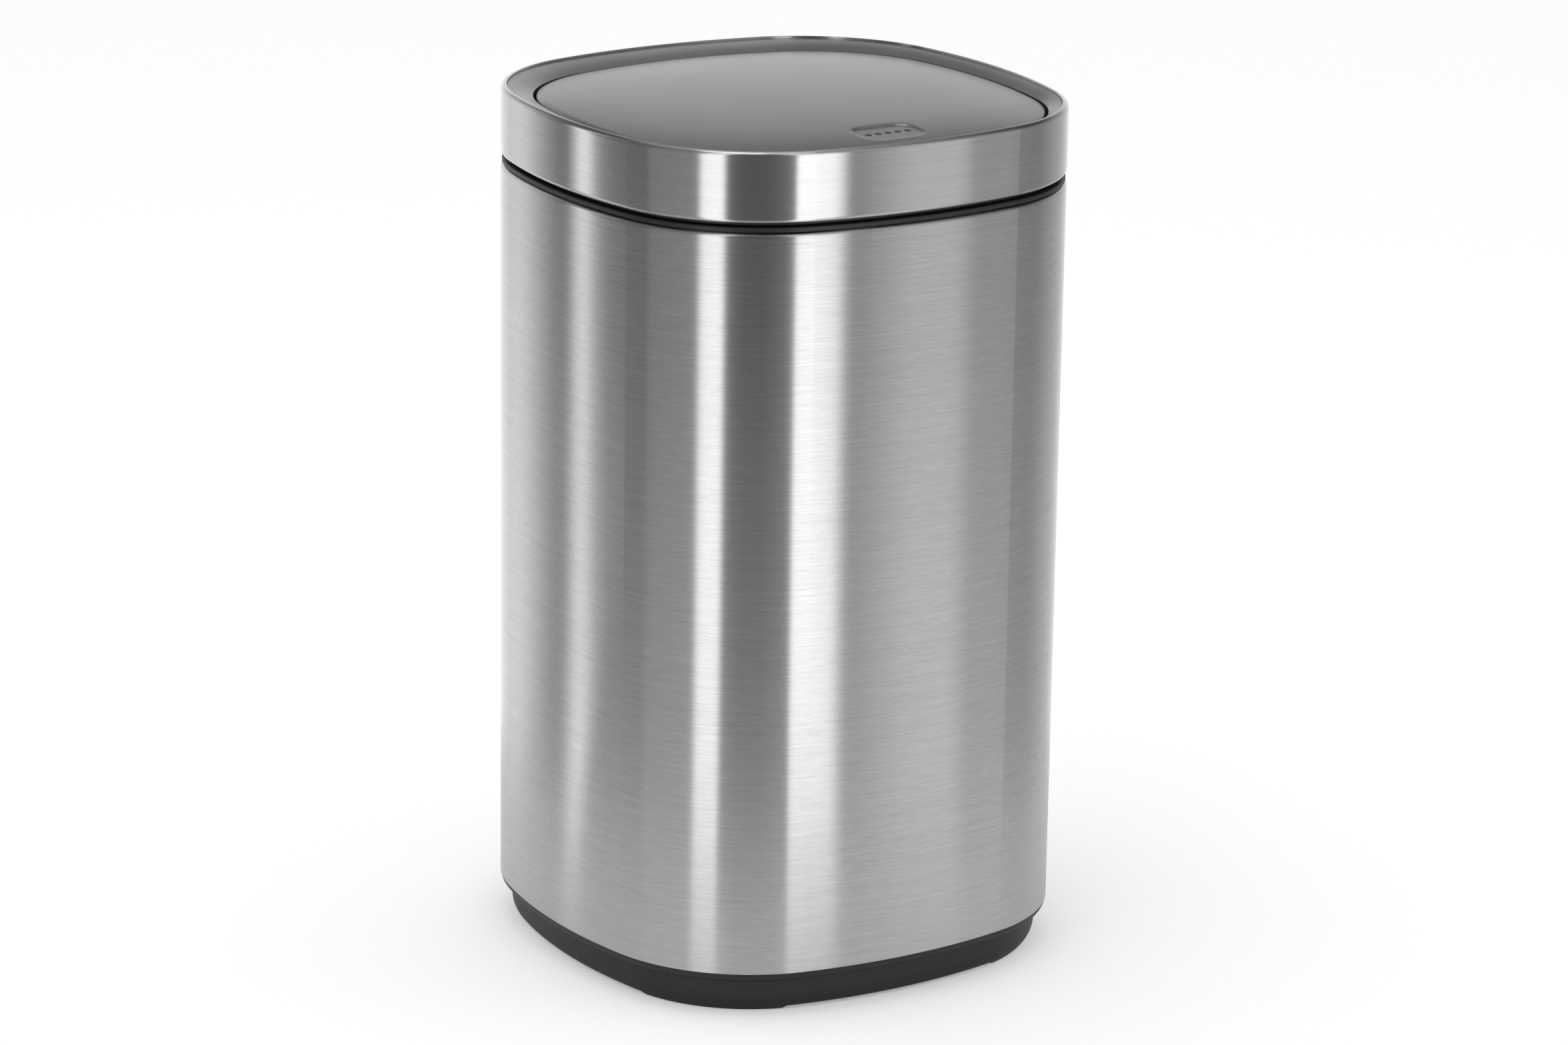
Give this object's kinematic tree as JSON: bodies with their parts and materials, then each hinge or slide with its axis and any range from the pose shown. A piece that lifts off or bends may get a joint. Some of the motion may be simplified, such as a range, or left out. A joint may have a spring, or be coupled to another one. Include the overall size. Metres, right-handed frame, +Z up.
{
  "type": "touch-top kitchen bin",
  "caption": "Touch-top kitchen waste bin: steel sleeve body with a lift-out bucket, a lift-off lid and a rear-hinged flap that opens when its front edge is pressed.",
  "frame": {"origin": "on the floor under the middle of the body's plan", "axes": "+Z up, -Y towards the front, where the press pad is, +X to the right seen from the front"},
  "size_m": [0.335, 0.335, 0.564],
  "materials": {
    "body_steel": "horizontally brushed",
    "band_steel": "horizontally brushed",
    "collar_plastic": "fine moulded grain",
    "plinth_plastic": "fine moulded grain",
    "pad_rubber": "matt",
    "tray_plastic": "moulded",
    "screw_steel": "zinc plated",
    "bucket_plastic": "moulded",
    "handle_wire": "bright plated wire",
    "frame_plastic": "satin metallic",
    "lid_plastic": "moulded",
    "flap_plastic": "satin metallic",
    "liner_plastic": "moulded",
    "rod_steel": "drawn bright",
    "bush_plastic": "self-lubricating",
    "spring_steel": "spring wire",
    "latch_plastic": "moulded",
    "plunger_plastic": "moulded",
    "magnet_metal": "nickel plated",
    "striker_steel": "zinc plated"
  },
  "bodies": {
    "can": {"body_shell": "body_steel", "top_collar": "collar_plastic", "base_plinth": "plinth_plastic", "foot_pads": "pad_rubber", "inner_floor": "tray_plastic", "base_screws": "screw_steel"},
    "bucket": {"inner_bucket": "bucket_plastic"},
    "left_handle_wire": {"left_handle": "handle_wire"},
    "right_handle_wire": {"right_handle": "handle_wire"},
    "lid": {"lid_band": "band_steel", "lid_frame": "frame_plastic", "lid_base": "lid_plastic", "lid_screws": "screw_steel", "lid_bumpers": "pad_rubber", "hinge_bushes": "bush_plastic", "left_spring": "spring_steel", "right_spring": "spring_steel", "latch_housing": "latch_plastic", "latch_screws": "screw_steel", "latch_spring": "spring_steel"},
    "plunger": {"latch_plunger": "plunger_plastic", "latch_magnet": "magnet_metal"},
    "flap": {"flap_panel": "flap_plastic", "flap_liner": "liner_plastic", "liner_screws": "screw_steel", "hinge_rod": "rod_steel", "rod_clips": "rod_steel", "striker_plate": "striker_steel"}
  },
  "joints": [
    {"name": "bucket_lift", "type": "slide", "parent": "can", "child": "bucket", "axis": [0, 0, 1], "range_m": [0, 0.5]},
    {"name": "left_handle_swing", "type": "hinge", "parent": "bucket", "child": "left_handle_wire", "pos_m": [-0.1396, 0, 0.482], "axis": [0, -1, 0], "range_deg": [0, 180]},
    {"name": "right_handle_swing", "type": "hinge", "parent": "bucket", "child": "right_handle_wire", "pos_m": [0.1396, 0, 0.482], "axis": [0, 1, 0], "range_deg": [0, 180]},
    {"name": "lid_lift", "type": "slide", "parent": "bucket", "child": "lid", "axis": [0, 0, 1], "range_m": [0, 0.1]},
    {"name": "flap_press", "type": "hinge", "parent": "lid", "child": "plunger", "pos_m": [0, 0.15, 0.5532], "axis": [1, 0, 0], "range_deg": [0, 0.8], "stiffness_Nm_per_rad": 10, "springref_deg": -14.32, "deforming": ["latch_spring"]},
    {"name": "flap_open", "type": "hinge", "parent": "plunger", "child": "flap", "pos_m": [0, 0.15, 0.5532], "axis": [-1, 0, 0], "range_deg": [0, 80]}
  ]
}
